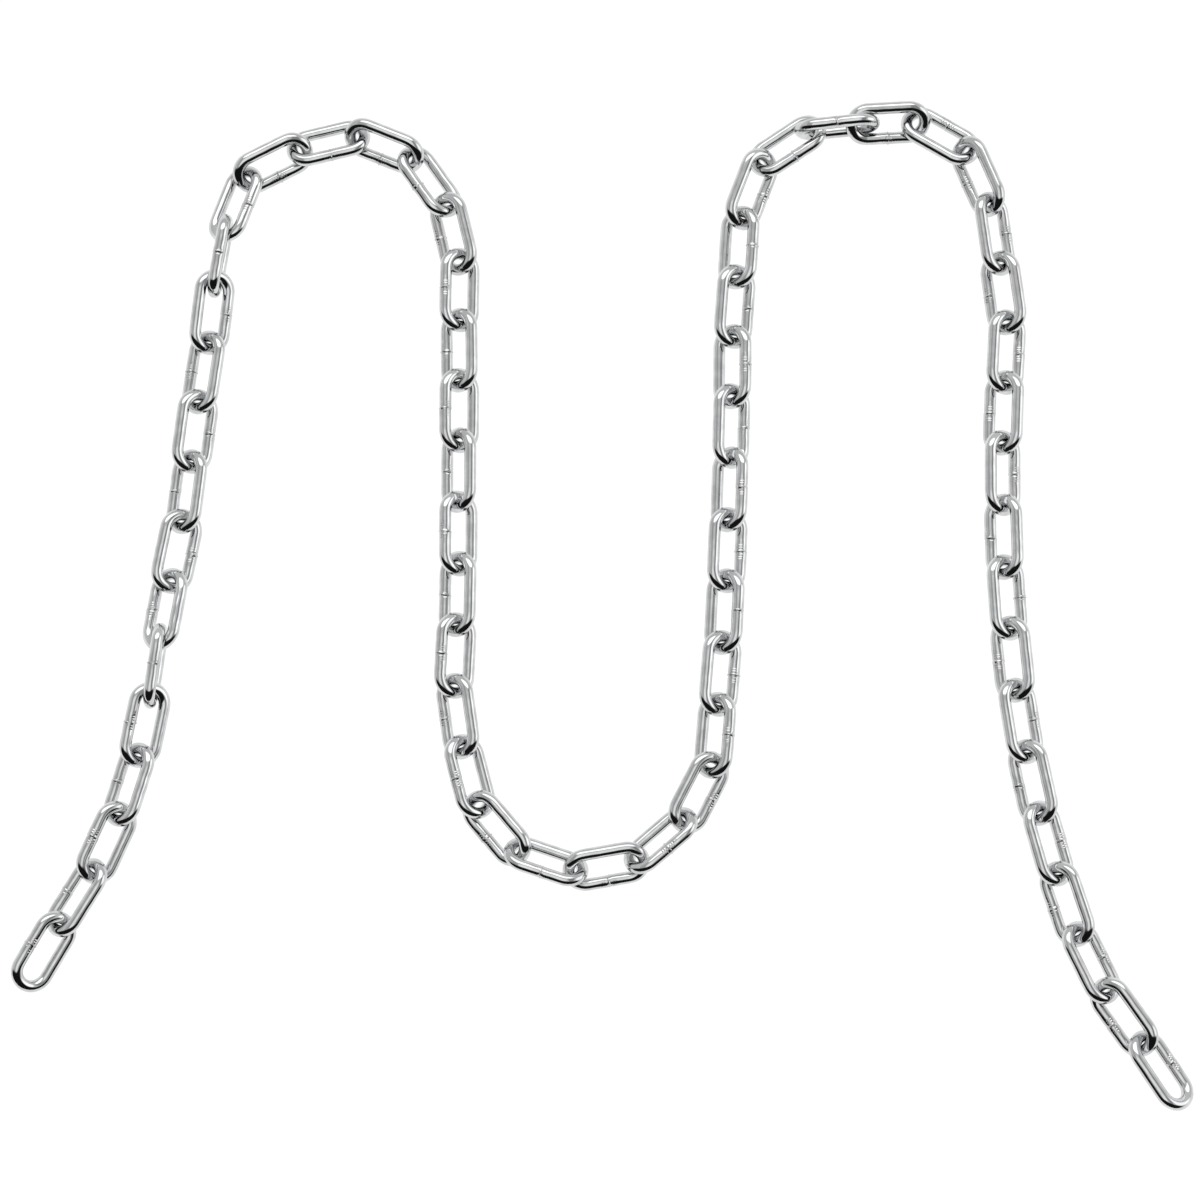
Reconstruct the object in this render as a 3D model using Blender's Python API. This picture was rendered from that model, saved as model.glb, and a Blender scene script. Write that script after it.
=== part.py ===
# Steel chain, 63 welded links of 6 mm wire, laid out on a flat floor in a wave.
# Metres, +Z up. The floor is Z = 0 and the origin is under the middle of the laid-out chain.

import math

import bmesh
import bpy
import numpy as np
from mathutils import Matrix, Vector

# The link
WIRE_D = 0.0060
INNER_LENGTH = 0.0325
INNER_WIDTH = 0.0108
LINK_COUNT = 63

# The laid-out chain, and how it is pulled out link by link
SEAT_GAP = 0.00010
FUSE_DEPTH = 0.0006
SHARED_NODES = ((23, 24), (38, 39), (53, 54))
OVERREACH = 0.0010
SLACK_STEP = 0.00005
MOST_SLACK = 150
STEER = 0.7
ROUTE_STEPS = 40
HEADING_REACH = 0.0060
GAUGE_SPACING = 0.0008

# How finely the link is cut into faces
WIRE_SIDES = 10
CROWN_STEPS = 8

CROWN_R = (INNER_WIDTH + WIRE_D) / 2
HALF_STRAIGHT = (INNER_LENGTH - INNER_WIDTH) / 2

# A polygon of this corner radius has the area of the round wire, so the link has its real weight
SIDE_ANGLE = 2 * math.pi / WIRE_SIDES
CORNER_R = WIRE_D / 2 * math.sqrt(SIDE_ANGLE / math.sin(SIDE_ANGLE))

# The line that the chain lies along, from its lower left end to its lower right end
ROUTE = (
    (-0.2805, -0.1795),
    (-0.2500, -0.1260),
    (-0.2310, -0.0665),
    (-0.2220, -0.0055),
    (-0.2125, 0.0565),
    (-0.2045, 0.1190),
    (-0.1980, 0.1815),
    (-0.1695, 0.2305),
    (-0.1120, 0.2355),
    (-0.0760, 0.1910),
    (-0.0720, 0.1290),
    (-0.0715, 0.0665),
    (-0.0715, 0.0035),
    (-0.0720, -0.0590),
    (-0.0525, -0.1195),
    (0.0025, -0.1385),
    (0.0495, -0.1030),
    (0.0615, -0.0390),
    (0.0660, 0.0240),
    (0.0685, 0.0875),
    (0.0705, 0.1500),
    (0.0800, 0.2115),
    (0.1190, 0.2475),
    (0.1775, 0.2405),
    (0.2040, 0.1870),
    (0.2075, 0.1245),
    (0.2065, 0.0610),
    (0.2080, -0.0020),
    (0.2140, -0.0650),
    (0.2265, -0.1260),
    (0.2460, -0.1845),
    (0.2785, -0.2365),
)

# Lean of a link about its own length, in degrees: positive lifts the right-hand side as seen
# along the route. Links lean to each side in turn, and three nearly upright links carry the
# quarter twists of the chain. In a bend a link leans less where its inner side is the upper one.
LEAN = 36.0
INNER_LEAN = 32.0
OUTER_LEAN = 42.0
SHARED_LEAN = 41.0
BENDS = ((14, 19, "right"), (29, 33, "left"), (43, 49, "right"))
UPRIGHT = {6: 87.6, 13: 87.6, 45: 92.2}
EASY_LEAN = {
    4: 32.5,
    5: -34.1,
    7: 32.5,
    8: -30.6,
    11: 32.7,
    12: -37.4,
    14: 29.4,
    15: -37.5,
    16: 26.0,
    17: -46.0,
    18: 36.3,
    19: -33.7,
    42: 32.8,
    43: -40.7,
    44: 26.2,
    46: -39.1,
    47: 23.5,
    48: -45.3,
    49: 44.0,
    50: -34.5,
}

# Slope in degrees of the links that lie out of level, positive where the far end is higher.
# Links beside an upright one are lifted at the end that hangs in it.
RISE = {
    4: -1.4,
    5: 7.3,
    7: -7.7,
    8: 0.9,
    12: 6.6,
    13: 0.9,
    14: -7.8,
    15: -1.2,
    16: -1.8,
    17: 0.4,
    18: -0.3,
    19: -2.0,
    42: -1.7,
    44: 4.0,
    45: 1.2,
    46: -7.6,
    47: 1.8,
    48: 2.0,
    49: -1.7,
    50: 0.5,
}

# Headings of the links near the upright ones and in the two upper bends, in degrees from +X
HEADING = {
    4: 73.4,
    5: 77.9,
    6: 82.5,
    7: 81.7,
    8: 79.0,
    11: 82.2,
    12: 82.9,
    13: 80.6,
    14: 70.9,
    15: 27.0,
    16: 13.5,
    17: -22.7,
    18: -55.0,
    19: -76.5,
    42: 86.3,
    43: 69.0,
    44: 32.7,
    45: 5.1,
    46: 4.5,
    47: -31.6,
    48: -67.9,
    49: -82.4,
    50: -82.9,
}

ZINC = (0.60, 0.61, 0.62, 1.0)
ZINC_ROUGHNESS = 0.28


def clear_scene():
    for thing in list(bpy.data.objects):
        bpy.data.objects.remove(thing, do_unlink=True)


def zinc_steel():
    material = bpy.data.materials.new("zinc_plated_steel")
    material.use_nodes = True
    surface = material.node_tree.nodes["Principled BSDF"]
    surface.inputs["Base Color"].default_value = ZINC
    surface.inputs["Metallic"].default_value = 1.0
    surface.inputs["Roughness"].default_value = ZINC_ROUGHNESS
    material.diffuse_color = ZINC
    return material


def link_mesh(material):
    """One link in the X-Y plane, its length along X, swept from a polygon section."""
    form = bmesh.new()
    stand_up = Matrix.Rotation(math.pi / 2, 4, "Y")
    start = Matrix.Translation((HALF_STRAIGHT, -CROWN_R, 0.0))
    ring = bmesh.ops.create_circle(
        form, segments=WIRE_SIDES, radius=CORNER_R, matrix=start @ stand_up
    )
    first = list({edge for corner in ring["verts"] for edge in corner.link_edges})
    crown = spin_crown(form, first, HALF_STRAIGHT)
    bar = bmesh.ops.extrude_edge_only(form, edges=crown)
    corners = [part for part in bar["geom"] if isinstance(part, bmesh.types.BMVert)]
    bmesh.ops.translate(form, verts=corners, vec=(-2 * HALF_STRAIGHT, 0.0, 0.0))
    end = [part for part in bar["geom"] if isinstance(part, bmesh.types.BMEdge)]
    crown = spin_crown(form, end, -HALF_STRAIGHT)
    bmesh.ops.bridge_loops(form, edges=crown + first)
    bmesh.ops.recalc_face_normals(form, faces=form.faces)
    mesh = bpy.data.meshes.new("link")
    form.to_mesh(mesh)
    form.free()
    mesh.shade_smooth()
    mesh.materials.append(material)
    return mesh


def spin_crown(form, edges, centre_x):
    """Half a turn of the wire about a crown's centre; returns the last ring's edges."""
    turned = bmesh.ops.spin(
        form,
        geom=edges,
        cent=(centre_x, 0.0, 0.0),
        axis=(0.0, 0.0, 1.0),
        angle=math.pi,
        steps=CROWN_STEPS,
    )
    return [part for part in turned["geom_last"] if isinstance(part, bmesh.types.BMEdge)]


def smooth_route():
    """Closely spaced points on a Catmull-Rom curve through ROUTE, with their arc lengths."""
    points = [Vector(point) for point in ROUTE]
    points = [2 * points[0] - points[1]] + points + [2 * points[-1] - points[-2]]
    line = []
    for before, here, ahead, after in zip(points, points[1:], points[2:], points[3:]):
        for step in range(ROUTE_STEPS):
            t = step / ROUTE_STEPS
            line.append(
                0.5
                * (
                    2 * here
                    + (ahead - before) * t
                    + (2 * before - 5 * here + 4 * ahead - after) * t**2
                    + (3 * here - before - 3 * ahead + after) * t**3
                )
            )
    line.append(points[-2])
    line.append(points[-2] + 2 * (points[-2] - points[-3]))
    line = np.array([tuple(point) for point in line])
    reach = np.linalg.norm(np.diff(line, axis=0), axis=1)
    return line, np.concatenate([[0.0], np.cumsum(reach)])


def heading_of(number, line, along, distance):
    """The link's heading: the route's own at this distance, unless the link is turned out of it."""
    if number in HEADING:
        return math.radians(HEADING[number])
    span = (max(distance - HEADING_REACH, 0.0), distance + HEADING_REACH)
    (west, east), (south, north) = (np.interp(span, along, line[:, axis]) for axis in (0, 1))
    return math.atan2(north - south, east - west)


def lean_of(number):
    """The link's lean in degrees, with its side from its place between the quarter twists."""
    if number in UPRIGHT:
        return UPRIGHT[number]
    if number in EASY_LEAN:
        return EASY_LEAN[number]
    twists = sum(1 for upright in UPRIGHT if upright < number)
    side = -1 if (number + twists) % 2 else 1
    if any(number in pair for pair in SHARED_NODES):
        return side * SHARED_LEAN
    for first, last, inside in BENDS:
        if first <= number <= last:
            inner_up = (side > 0) == (inside == "right")
            return side * (INNER_LEAN if inner_up else OUTER_LEAN)
    return side * LEAN


def wire_centre():
    """Points along the middle of the faceted wire, in the link's own frame."""
    turn = np.linspace(-math.pi / 2, math.pi / 2, CROWN_STEPS + 1)
    front = np.column_stack((HALF_STRAIGHT + CROWN_R * np.cos(turn), CROWN_R * np.sin(turn)))
    corners = np.concatenate((front, -front, front[:1]))
    points = []
    for here, ahead in zip(corners, corners[1:]):
        count = math.ceil(np.linalg.norm(ahead - here) / GAUGE_SPACING)
        points += [here + (ahead - here) * step / count for step in range(count)]
    return np.column_stack((np.array(points), np.zeros(len(points))))


def resting_place(number, middle, heading):
    """Matrix of a link lying on the floor with its middle over this point."""
    turned = (
        Matrix.Rotation(heading, 4, "Z")
        @ Matrix.Rotation(-math.radians(RISE.get(number, 0.0)), 4, "Y")
        @ Matrix.Rotation(-math.radians(lean_of(number)), 4, "X")
    )
    lowest = (SURFACE @ np.array(turned.to_3x3()).T)[:, 2].min()
    return Matrix.Translation((middle.x, middle.y, -lowest)) @ turned


def wire_distance(one, other):
    """Least distance between the middles of the wires of two placed links."""
    first = WIRE_LINE @ np.array(one.to_3x3()).T + np.array(one.translation)
    second = WIRE_LINE @ np.array(other.to_3x3()).T + np.array(other.translation)
    apart = first[:, None, :] - second[None, :, :]
    return math.sqrt((apart**2).sum(axis=2).min())


def bearing_gap(number):
    """How far apart the wire middles are where this link bears on the one before it."""
    if (number - 1, number) in SHARED_NODES:
        return 2 * CORNER_R - FUSE_DEPTH
    return 2 * CORNER_R + SEAT_GAP


def drift(line, along, distance, middle, way):
    """Angle by which a step this way from the last link would miss the route."""
    east, north = (np.interp(distance, along, line[:, axis]) for axis in (0, 1))
    miss = math.atan2(north - middle.y, east - middle.x) - way
    return (miss + math.pi) % (2 * math.pi) - math.pi


def lay_chain():
    """Each link is pulled out along the route until it bears on the one before it."""
    line, along = smooth_route()
    distance = 0.0
    middle = Vector(ROUTE[0])
    heading = heading_of(1, line, along, distance)
    places = [resting_place(1, middle, heading)]
    for number in range(2, LINK_COUNT + 1):
        for slack in range(MOST_SLACK):
            reach = INNER_LENGTH + OVERREACH - slack * SLACK_STEP
            ahead = heading_of(number, line, along, distance + reach)
            if number not in HEADING:
                ahead += STEER * drift(line, along, distance + reach, middle, (heading + ahead) / 2)
            way = (heading + ahead) / 2
            step = Vector((math.cos(way), math.sin(way))) * reach
            place = resting_place(number, middle + step, ahead)
            if wire_distance(places[-1], place) >= bearing_gap(number):
                break
        distance += reach
        middle = middle + step
        heading = ahead
        places.append(place)
    return places


def add_link(name, mesh, place, offset):
    link = bpy.data.objects.new(name, mesh)
    bpy.context.scene.collection.objects.link(link)
    link.matrix_world = offset @ place
    return link


def fuse(link, neighbour):
    """Joins a link to a hidden copy of the neighbour that it bears on."""
    neighbour.hide_render = True
    neighbour.display_type = "WIRE"
    union = link.modifiers.new("bearing", "BOOLEAN")
    union.operation = "UNION"
    union.object = neighbour


def centring(places):
    """Moves the middle of the chain's outline over the origin."""
    spots = [SURFACE @ np.array(place.to_3x3()).T + np.array(place.translation) for place in places]
    spots = np.concatenate(spots)
    middle = (spots.min(axis=0) + spots.max(axis=0)) / 2
    return Matrix.Translation((-middle[0], -middle[1], 0.0))


clear_scene()
mesh = link_mesh(zinc_steel())
SURFACE = np.array([tuple(corner.co) for corner in mesh.vertices])
WIRE_LINE = wire_centre()
places = lay_chain()
offset = centring(places)
fused_to = dict(SHARED_NODES)
fused = set(fused_to.values())
for number, place in enumerate(places, start=1):
    if number in fused:
        continue
    if number in fused_to:
        partner = fused_to[number]
        link = add_link(f"links_{number:02d}_{partner:02d}", mesh, place, offset)
        helper = add_link(f"helper_{partner:02d}", mesh, places[partner - 1], offset)
        fuse(link, helper)
    else:
        add_link(f"link_{number:02d}", mesh, place, offset)
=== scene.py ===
import math
import re

import bpy
import numpy as np
from mathutils import Matrix, Vector


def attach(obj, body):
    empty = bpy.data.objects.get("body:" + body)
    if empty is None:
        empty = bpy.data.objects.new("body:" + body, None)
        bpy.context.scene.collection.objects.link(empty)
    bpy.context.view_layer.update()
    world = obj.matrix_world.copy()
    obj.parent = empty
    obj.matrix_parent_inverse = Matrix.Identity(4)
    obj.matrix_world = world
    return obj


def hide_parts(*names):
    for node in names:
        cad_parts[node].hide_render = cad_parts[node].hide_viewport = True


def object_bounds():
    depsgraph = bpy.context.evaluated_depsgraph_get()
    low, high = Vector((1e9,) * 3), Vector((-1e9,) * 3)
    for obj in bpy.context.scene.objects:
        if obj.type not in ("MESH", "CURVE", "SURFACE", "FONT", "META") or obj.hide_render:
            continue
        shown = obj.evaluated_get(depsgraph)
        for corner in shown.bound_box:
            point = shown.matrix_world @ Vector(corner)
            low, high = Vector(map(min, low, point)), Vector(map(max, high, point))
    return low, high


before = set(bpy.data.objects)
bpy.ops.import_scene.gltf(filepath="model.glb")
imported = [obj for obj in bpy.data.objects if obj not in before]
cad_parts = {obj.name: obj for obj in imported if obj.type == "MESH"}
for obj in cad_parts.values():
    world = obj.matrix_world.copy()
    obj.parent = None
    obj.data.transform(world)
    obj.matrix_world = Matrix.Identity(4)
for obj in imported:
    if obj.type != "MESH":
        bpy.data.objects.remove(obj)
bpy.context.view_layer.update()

MM = 0.001

# The link: round wire bent to two straight bars and two crowns. The plated wire is a little
# thicker than its nominal size.
NOMINAL_WIRE_D = 6.0 * MM
WIRE_R = 3.10 * MM
INNER_LENGTH = 32.5 * MM
INNER_WIDTH = 10.8 * MM
BEND_R = (INNER_WIDTH + NOMINAL_WIRE_D) / 2
HALF_STRAIGHT = (INNER_LENGTH - INNER_WIDTH) / 2
HALF_TURN = math.pi * BEND_R
ROUND_TRIP = 4 * HALF_STRAIGHT + 2 * HALF_TURN

# How a link of the frame is found: corners this near to its end make its crown, whose middle lies
# this far from the middle of the link
CROWN_SPAN = 18 * MM
CROWN_TO_MIDDLE = 15.33 * MM

# The butt weld closes the link in the middle of one bar. These links have it on the left-hand bar,
# seen along the chain from its lower left end, and all the others on the right-hand one.
WELD_ON_LEFT = {1, 2, 3, 4, 5, 7, 9, 11, 45, 47} | set(range(49, 64, 2))
WELD_REACH = 4.0 * MM

# Flash ring of the weld: higher on two sides than between them, with a ragged crest
FLASH_WIDTH = 0.36 * MM
FLASH_LEAST = 0.06 * MM
FLASH_MOST = 0.42 * MM
FLASH_RAGGED = 0.25
RAGGED_LOBES = 5

# Notches on both sides of the ring
NOTCH_DEPTH = 0.16 * MM
NOTCH_CENTRE = 1.0 * MM
NOTCH_WIDTH = 0.32 * MM
NOTCH_LOBES = 3

# Toothed marks of the welding clamps, on the upper and lower face of the bar
CLAMP_FLAT = 0.16 * MM
CLAMP_CENTRE = 3.4 * MM
CLAMP_LENGTH = 2.0 * MM
CLAMP_TOOTH = 1.2 * MM
TOOTH_SHARE = 0.4
CLAMP_TURN = 0.5

# The two ends of the wire meet a little out of line
BAR_STEP = 0.12 * MM

# What rests on the floor is pressed flat at this height
LOWEST = -0.10 * MM

# Mesh density
RING_STEP = 0.85 * MM
WELD_RING_STEP = 0.16 * MM
WIRE_SIDES = 32

# How uneven the wire is: the bent crowns are a share thicker inside and thinner outside, and low
# waves run along it and round it
CROWN_THICKER = 0.020
CROWN_BLEND_RINGS = 5
WAVE_HEIGHT = 0.030 * MM
WAVE_COUNT = 9
WAVE_TURNS = (2, 16)
WAVE_LOBES = (0, 4)
SEED = 4200

# Camera, in the frame's metres
LOOK_AT = Vector((0.00062, 0.00099, 0.0))
CAMERA_EAST = math.radians(2.52)
CAMERA_SOUTH = math.radians(9.06)
CAMERA_DISTANCE = 2.0
CAMERA_REACH = 100.0
FOCAL_PIXELS = 3907.0
IMAGE_PIXELS = 1200.0
SENSOR_MM = 36.0

# Colours of the plating: bright, clouded and scorched beside the weld
BRIGHT = (0.66, 0.665, 0.67, 1.0)
DULL = (0.56, 0.565, 0.57, 1.0)
SCORCHED = (0.45, 0.45, 0.45, 1.0)
SCORCHED_SHARE = 0.35

# Grain of the plating, in waves a metre, and the lines that the drawing die leaves along the wire
CLOUD_SCALE = 160.0
GRAIN_SCALE = 2600.0
LINE_SCALE = (90.0, 1400.0, 1400.0)
RELIEF = 0.02 * MM
RELIEF_STRENGTH = 0.35

# Roughness of the plating, from clear to clouded, and what draw lines and welds add to it
CLEAR_ROUGHNESS = 0.04
CLOUDED_ROUGHNESS = 0.085
LINE_ROUGHNESS = 0.04
WELD_ROUGHNESS = 0.10

# White floor, lit from beneath
FLOOR_REACH = 30.0
FLOOR_GREY = (0.12, 0.12, 0.12, 1.0)
FLOOR_GLOW = 0.97
FLOOR_ROUGHNESS = 0.9

# The studio: a pale room with panels that hide it, each later one in front. Centre as zenith and
# compass angle from +X, half sizes, all in degrees, then the softness of the edge and the light.
ROOM_LIGHT = 0.72
PANELS = (
    ((36, 180), (40, 14), 0.20, 0.50),
    ((34, 2), (36, 11), 0.20, 0.34),
    ((12, -100), (17, 22), 0.14, 1.12),
    ((41, 88), (32, 16), 0.12, 2.00),
    ((70, 4), (22, 18), 0.14, 1.60),
    ((62, -95), (72, 30), 0.08, 0.01),
)
PANEL_ROUNDING = 2.5
PANEL_HORIZON = 0.1


def corners_of(node):
    """The corners of a CAD node's mesh, each listed once."""
    corners = np.array([tuple(corner.co) for corner in node.data.vertices])
    return np.unique(corners.round(7), axis=0)


def main_axes(points):
    """Middle of some points and their directions of least, middle and greatest spread."""
    middle = points.mean(axis=0)
    _, directions = np.linalg.eigh((points - middle).T @ (points - middle))
    return middle, directions.T


def end_crowns(points, travel):
    """The corners of a node's first and last crown, in the direction of travel."""
    middle, (_, _, longest) = main_axes(points)
    along = (points - middle) @ longest * np.sign(longest @ travel)
    return points[along < along.min() + CROWN_SPAN], points[along > along.max() - CROWN_SPAN]


def place_of(middle, lengthwise, normal):
    """Place of a link in the frame: X along its length, Z out of its plane and upward."""
    normal = normal * (1 if normal[2] >= 0 else -1)
    place = Matrix.Identity(4)
    for axis, column in enumerate((lengthwise, np.cross(normal, lengthwise), normal, middle)):
        for row in range(3):
            place[row][axis] = column[row]
    return place


def single_place(points, first, second):
    """Place of a link that is a node of its own."""
    ends = first.mean(axis=0), second.mean(axis=0)
    lengthwise = (ends[1] - ends[0]) / np.linalg.norm(ends[1] - ends[0])
    normal = main_axes(points)[1][0]
    normal = normal - (normal @ lengthwise) * lengthwise
    return place_of((ends[0] + ends[1]) / 2, lengthwise, normal / np.linalg.norm(normal))


def paired_place(crown, ahead, inward):
    """Place of one link of a fused pair, from its free crown."""
    end, (normal, lengthwise, _) = main_axes(crown)
    lengthwise = lengthwise * np.sign(lengthwise @ ahead)
    return place_of(end + inward * CROWN_TO_MIDDLE * lengthwise, lengthwise, normal)


def chain_places():
    """Each link's number, CAD node and place, from the first link to the last."""
    names = sorted(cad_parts, key=lambda name: int(re.search(r"\d+", name).group()))
    corners = [corners_of(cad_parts[name]) for name in names]
    middles = [points.mean(axis=0) for points in corners]
    last = len(names) - 1
    places = []
    for spot, (name, points) in enumerate(zip(names, corners)):
        ahead = middles[min(spot + 1, last)] - middles[max(spot - 1, 0)]
        first, second = end_crowns(points, ahead)
        numbers = [int(number) for number in re.findall(r"\d+", name)]
        if len(numbers) == 1:
            places.append((numbers[0], name, single_place(points, first, second)))
        else:
            places.append((numbers[0], name, paired_place(first, ahead, 1)))
            places.append((numbers[1], name, paired_place(second, ahead, -1)))
    return places


def bent_wire(distance):
    """Middle line of the link and its outward direction, from the middle of the +Y bar round."""
    mirrored = distance > ROUND_TRIP / 2
    distance = np.where(mirrored, ROUND_TRIP - distance, distance)
    on_crown = (distance > HALF_STRAIGHT) & (distance < HALF_STRAIGHT + HALF_TURN)
    far_bar = distance >= HALF_STRAIGHT + HALF_TURN
    angle = np.where(on_crown, math.pi / 2 - (distance - HALF_STRAIGHT) / BEND_R, math.pi / 2)
    angle = np.where(far_bar, -math.pi / 2, angle)
    straight = np.where(on_crown, HALF_STRAIGHT, distance)
    straight = np.where(far_bar, 2 * HALF_STRAIGHT + HALF_TURN - distance, straight)
    east = straight + BEND_R * np.cos(angle)
    north = BEND_R * np.sin(angle)
    side = np.where(mirrored, -1.0, 1.0)
    middle = np.column_stack((side * east, north, np.zeros_like(east)))
    outward = np.column_stack((side * np.cos(angle), np.sin(angle), np.zeros_like(east)))
    return middle, outward, on_crown


def ring_distances():
    """Where the wire's rings lie along it: close together round the weld, wider elsewhere."""
    near = np.arange(0.0, WELD_REACH, WELD_RING_STEP)
    far_count = round((ROUND_TRIP - 2 * WELD_REACH) / RING_STEP)
    far = np.linspace(WELD_REACH, ROUND_TRIP - WELD_REACH, far_count + 1)
    return np.concatenate((near, far, ROUND_TRIP - near[:0:-1]))


def wire_waves(random, distances, around):
    """A few low waves over the wire's surface, closed both along and round it."""
    height = np.zeros((len(distances), len(around)))
    for _ in range(WAVE_COUNT):
        turns = random.integers(*WAVE_TURNS)
        lobes = random.integers(*WAVE_LOBES)
        phase = random.uniform(0, 2 * math.pi, 2)
        along = np.cos(2 * math.pi * turns * distances / ROUND_TRIP + phase[0])
        height += random.normal() * np.outer(along, np.cos(lobes * around + phase[1]))
    return WAVE_HEIGHT / math.sqrt(WAVE_COUNT) * height


def weld_shape(random, distances, around):
    """Flash ring left by the butt weld, with notches and the clamps' marks beside it."""
    flash = np.exp(-((distances / FLASH_WIDTH) ** 2))
    trim = random.uniform(0, 2 * math.pi)
    lobes = 0.5 + 0.5 * np.cos(2 * around + trim)
    ragged = 1 + FLASH_RAGGED * np.cos(RAGGED_LOBES * around + random.uniform(0, 2 * math.pi))
    crest = (FLASH_LEAST + (FLASH_MOST - FLASH_LEAST) * lobes**2) * ragged
    height = np.outer(flash, crest)
    notch = np.exp(-(((np.abs(distances) - NOTCH_CENTRE) / NOTCH_WIDTH) ** 2))
    height -= NOTCH_DEPTH * np.outer(notch, (0.5 + 0.5 * np.cos(NOTCH_LOBES * around - trim)) ** 2)
    clamp = np.exp(-(((np.abs(distances) - CLAMP_CENTRE) / CLAMP_LENGTH) ** 4))
    step = np.tanh(distances / (0.5 * FLASH_WIDTH)) * np.exp(-np.abs(distances) / WELD_REACH)
    height += BAR_STEP * np.outer(step, np.cos(around + random.uniform(0, 2 * math.pi)))
    teeth = 1 - TOOTH_SHARE + TOOTH_SHARE * np.cos(2 * math.pi * distances / CLAMP_TOOTH)
    clamped = np.abs(np.sin(around + random.normal() * CLAMP_TURN)) ** 6
    height -= CLAMP_FLAT * np.outer(clamp * teeth, clamped)
    return height


def link_mesh(number, material):
    """A link of round wire, its weld in the middle of the +Y bar."""
    random = np.random.default_rng(SEED + number)
    distances = ring_distances()
    around = np.linspace(0, 2 * math.pi, WIRE_SIDES, endpoint=False)
    middle, outward, on_crown = bent_wire(distances)
    from_weld = (distances + ROUND_TRIP / 2) % ROUND_TRIP - ROUND_TRIP / 2

    blend = np.ones(CROWN_BLEND_RINGS) / CROWN_BLEND_RINGS
    crown = np.convolve(np.where(on_crown, 1.0, 0.0), blend, mode="same")
    radius = WIRE_R * (1 - CROWN_THICKER * np.outer(crown, np.cos(around)))
    radius += wire_waves(random, distances, around)
    radius += weld_shape(random, from_weld, around)

    upward = np.array((0.0, 0.0, 1.0))
    points = (
        middle[:, None, :]
        + (radius * np.cos(around))[:, :, None] * outward[:, None, :]
        + (radius * np.sin(around))[:, :, None] * upward
    )
    rings, sides = radius.shape
    ring = np.arange(rings)[:, None]
    side = np.arange(sides)[None, :]
    next_ring = (ring + 1) % rings
    next_side = (side + 1) % sides
    quads = np.stack(
        (ring * sides + side, ring * sides + next_side,
         next_ring * sides + next_side, next_ring * sides + side), axis=-1
    )
    mesh = bpy.data.meshes.new(f"bright_link_{number:02d}")
    mesh.from_pydata(points.reshape(-1, 3).tolist(), [], quads.reshape(-1, 4).tolist())
    mesh.shade_smooth()

    weld = np.repeat(np.exp(-((from_weld / WELD_REACH) ** 2)), sides)
    mesh.attributes.new("weld", "FLOAT", "POINT").data.foreach_set("value", weld)
    wire = np.stack(
        (np.broadcast_to(distances[:, None], radius.shape),
         np.broadcast_to(WIRE_R * np.cos(around), radius.shape),
         np.broadcast_to(WIRE_R * np.sin(around), radius.shape)), axis=-1
    )
    mesh.attributes.new("wire", "FLOAT_VECTOR", "POINT").data.foreach_set("vector", wire.ravel())
    mesh.materials.append(material)
    return mesh


def add_link(number, node, place, material):
    """The finely meshed link in its place, its weld on the bar that has it."""
    mesh = link_mesh(number, material)
    turn = Matrix.Identity(4) if number in WELD_ON_LEFT else Matrix.Rotation(math.pi, 4, "Z")
    mesh.transform(place @ turn)
    for corner in mesh.vertices:
        corner.co.z = max(corner.co.z, LOWEST)
    link = bpy.data.objects.new(f"bright_link_{number:02d}", mesh)
    bpy.context.scene.collection.objects.link(link)
    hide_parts(node)
    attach(link, "root")


class Nodes:
    """Short names for adding and joining shader nodes in one tree."""

    def __init__(self, tree):
        self.tree = tree

    def add(self, kind, **inputs):
        node = self.tree.nodes.new(kind)
        for name, value in inputs.items():
            self.feed(node, name.replace("_", " "), value)
        return node

    def feed(self, node, name, value):
        socket = node.inputs[name]
        if isinstance(value, bpy.types.NodeSocket):
            self.tree.links.new(value, socket)
        else:
            socket.default_value = value

    def math(self, operation, first, second=None):
        node = self.tree.nodes.new("ShaderNodeMath")
        node.operation = operation
        self.feed(node, 0, first)
        if second is not None:
            self.feed(node, 1, second)
        return node.outputs[0]

    def noise(self, vector, scale, detail):
        return self.add("ShaderNodeTexNoise", Vector=vector, Scale=scale, Detail=detail).outputs[0]

    def scaled(self, vector, factors):
        node = self.tree.nodes.new("ShaderNodeVectorMath")
        node.operation = "MULTIPLY"
        self.feed(node, 0, vector)
        self.feed(node, 1, factors)
        return node.outputs[0]

    def ramp(self, value, low, high, at_low, at_high):
        node = self.tree.nodes.new("ShaderNodeMapRange")
        node.interpolation_type = "SMOOTHSTEP"
        self.feed(node, 0, value)
        for spot, number in enumerate((low, high, at_low, at_high), start=1):
            self.feed(node, spot, number)
        return node.outputs[0]

    def grey_mix(self, share, first, second):
        node = self.tree.nodes.new("ShaderNodeMix")
        node.data_type = "RGBA"
        self.feed(node, 0, share)
        self.feed(node, 6, first)
        self.feed(node, 7, second)
        return node.outputs[2]


def attribute(nodes, name):
    """The mesh's own values of this name."""
    node = nodes.tree.nodes.new("ShaderNodeAttribute")
    node.attribute_name = name
    return node


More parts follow.
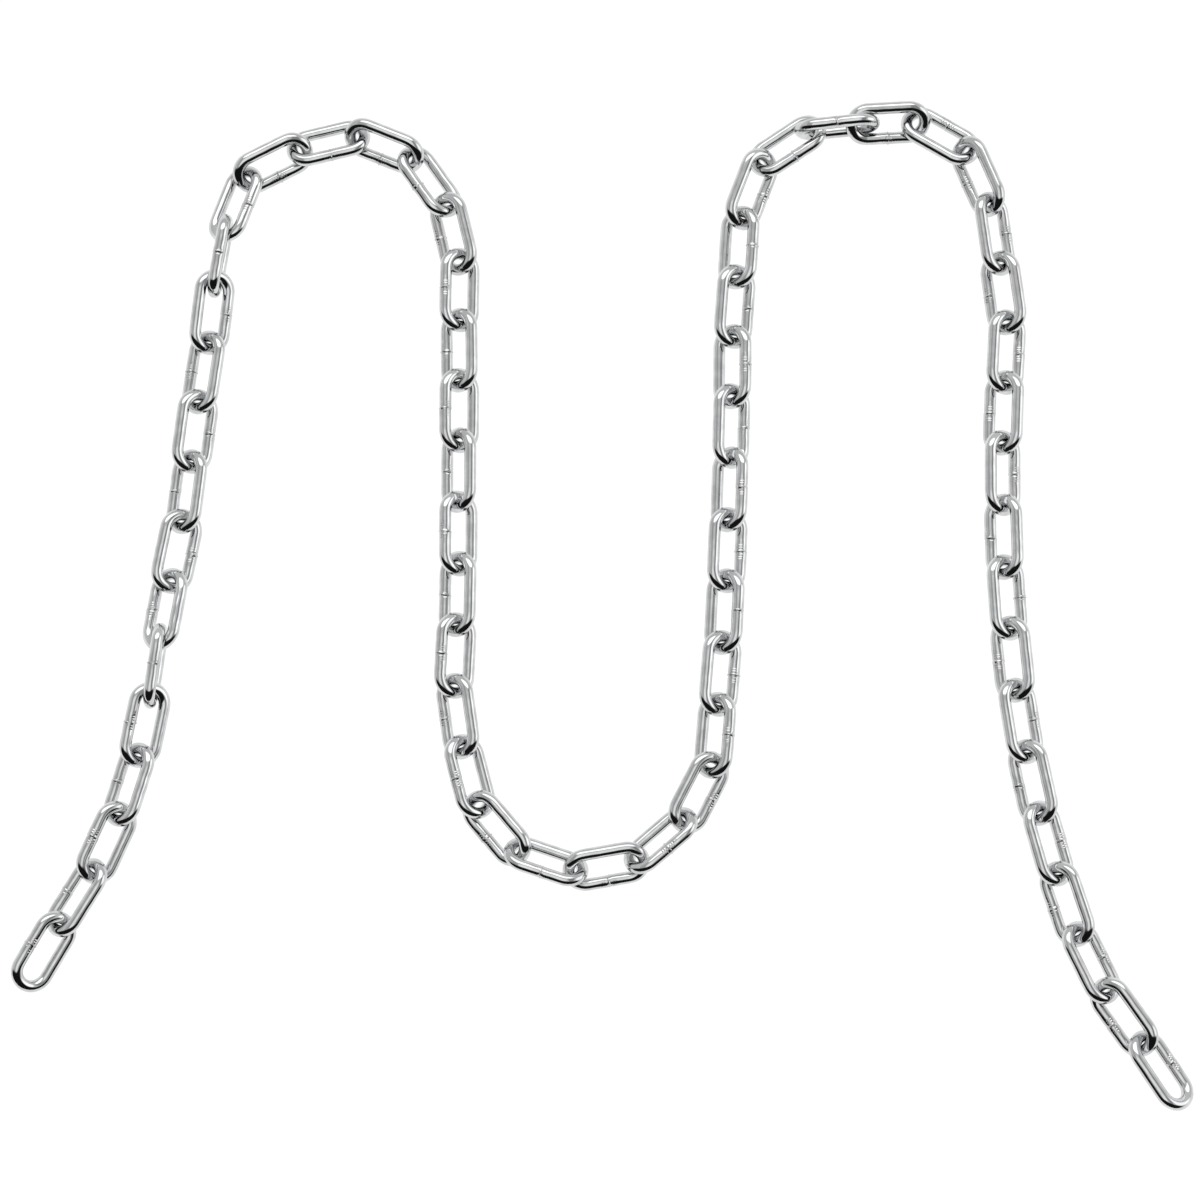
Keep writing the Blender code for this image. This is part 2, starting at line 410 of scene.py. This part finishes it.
def zinc_material():
    """Bright zinc plating on drawn wire: smooth, with faint clouds, draw lines and a dull weld."""
    material = bpy.data.materials.new("bright_zinc_plating")
    material.use_nodes = True
    nodes = Nodes(material.node_tree)
    surface = material.node_tree.nodes["Principled BSDF"]
    wire = attribute(nodes, "wire").outputs["Vector"]
    weld = attribute(nodes, "weld").outputs["Fac"]
    place = nodes.add("ShaderNodeNewGeometry").outputs["Position"]

    clouds = nodes.noise(place, CLOUD_SCALE, 3.0)
    lines = nodes.noise(nodes.scaled(wire, LINE_SCALE), 1.0, 2.0)
    grain = nodes.noise(place, GRAIN_SCALE, 2.0)

    colour = nodes.grey_mix(nodes.ramp(clouds, 0.35, 0.65, 0.0, 1.0), BRIGHT, DULL)
    colour = nodes.grey_mix(nodes.math("MULTIPLY", weld, SCORCHED_SHARE), colour, SCORCHED)
    nodes.feed(surface, "Base Color", colour)
    surface.inputs["Metallic"].default_value = 1.0

    rough = nodes.ramp(clouds, 0.3, 0.7, CLEAR_ROUGHNESS, CLOUDED_ROUGHNESS)
    rough = nodes.math("ADD", rough, nodes.ramp(lines, 0.5, 0.8, 0.0, LINE_ROUGHNESS))
    rough = nodes.math("ADD", rough, nodes.math("MULTIPLY", weld, WELD_ROUGHNESS))
    nodes.feed(surface, "Roughness", rough)

    height = nodes.math("MULTIPLY", nodes.math("ADD", lines, grain), 0.5)
    bump = nodes.add("ShaderNodeBump", Strength=RELIEF_STRENGTH, Distance=RELIEF, Height=height)
    nodes.feed(surface, "Normal", bump.outputs["Normal"])
    return material


def add_floor(level):
    """A plain white floor, lit a little from beneath like a light table."""
    mesh = bpy.data.meshes.new("floor")
    corners = [(side * FLOOR_REACH, end * FLOOR_REACH, level)
               for side, end in ((-1, -1), (1, -1), (1, 1), (-1, 1))]
    mesh.from_pydata(corners, [], [(0, 1, 2, 3)])
    floor = bpy.data.objects.new("floor", mesh)
    bpy.context.scene.collection.objects.link(floor)
    material = bpy.data.materials.new("white_acrylic")
    material.use_nodes = True
    surface = material.node_tree.nodes["Principled BSDF"]
    surface.inputs["Base Color"].default_value = FLOOR_GREY
    surface.inputs["Roughness"].default_value = FLOOR_ROUGHNESS
    surface.inputs["Specular IOR Level"].default_value = 0.0
    surface.inputs["Emission Color"].default_value = (1.0, 1.0, 1.0, 1.0)
    surface.inputs["Emission Strength"].default_value = FLOOR_GLOW
    mesh.materials.append(material)


def direction(zenith, azimuth):
    """Unit vector at this angle from straight up, towards this compass angle from +X, in degrees."""
    zenith = math.radians(zenith)
    azimuth = math.radians(azimuth)
    return Vector((math.sin(zenith) * math.cos(azimuth), math.sin(zenith) * math.sin(azimuth),
                   math.cos(zenith)))


def soft_panel(nodes, ray, light, centre, half_size, edge, strength):
    """Lays a soft-edged elliptical panel over the studio's light: half sizes in degrees."""
    middle = direction(*centre)
    level = Vector((0, 0, 1)).cross(middle).normalized()
    rise = middle.cross(level)
    spread = []
    for axis, half in zip((level, rise), half_size):
        dot = nodes.tree.nodes.new("ShaderNodeVectorMath")
        dot.operation = "DOT_PRODUCT"
        nodes.feed(dot, 0, ray)
        nodes.feed(dot, 1, axis / math.sin(math.radians(half)))
        part = nodes.math("ABSOLUTE", dot.outputs["Value"])
        spread.append(nodes.math("POWER", part, PANEL_ROUNDING))
    out = nodes.math("POWER", nodes.math("ADD", spread[0], spread[1]), 1 / PANEL_ROUNDING)
    inside = nodes.ramp(out, 1 - edge, 1 + edge, 1.0, 0.0)
    facing = nodes.tree.nodes.new("ShaderNodeVectorMath")
    facing.operation = "DOT_PRODUCT"
    nodes.feed(facing, 0, ray)
    nodes.feed(facing, 1, middle)
    in_front = nodes.ramp(facing.outputs["Value"], 0.0, PANEL_HORIZON, 0.0, 1.0)
    share = nodes.math("MULTIPLY", inside, in_front)
    node = nodes.tree.nodes.new("ShaderNodeMix")
    node.data_type = "FLOAT"
    nodes.feed(node, 0, share)
    nodes.feed(node, 2, light)
    nodes.feed(node, 3, strength)
    return node.outputs[0]


def add_studio_light():
    """A pale room with soft panels overhead, north and east, and an unlit side to the south."""
    world = bpy.data.worlds.new("studio")
    world.use_nodes = True
    bpy.context.scene.world = world
    nodes = Nodes(world.node_tree)
    ray = nodes.add("ShaderNodeTexCoord").outputs["Generated"]
    light = ROOM_LIGHT
    for panel in PANELS:
        light = soft_panel(nodes, ray, light, *panel)
    background = world.node_tree.nodes["Background"]
    nodes.feed(background, "Strength", light)
    background.inputs["Color"].default_value = (1.0, 1.0, 1.0, 1.0)


def add_camera():
    """Camera high above the chain, a little south and east of straight overhead."""
    back = Vector((math.tan(CAMERA_EAST), -math.tan(CAMERA_SOUTH), 1.0)).normalized()
    up = (Vector((0, 1, 0)) - back.y * back).normalized()
    right = up.cross(back)
    camera = bpy.data.objects.new("camera", bpy.data.cameras.new("camera"))
    bpy.context.scene.collection.objects.link(camera)
    camera.data.sensor_width = SENSOR_MM
    camera.data.lens = SENSOR_MM * FOCAL_PIXELS / IMAGE_PIXELS
    camera.data.clip_end = CAMERA_REACH
    spot = LOOK_AT + back * CAMERA_DISTANCE
    camera.matrix_world = Matrix((
        (right.x, up.x, back.x, spot.x),
        (right.y, up.y, back.y, spot.y),
        (right.z, up.z, back.z, spot.z),
        (0.0, 0.0, 0.0, 1.0),
    ))
    bpy.context.scene.camera = camera


add_camera()
zinc = zinc_material()
for number, node, place in chain_places():
    add_link(number, node, place, zinc)
visual_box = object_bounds()
add_floor(visual_box[0][2])
add_studio_light()
bpy.context.scene.view_settings.view_transform = "Standard"
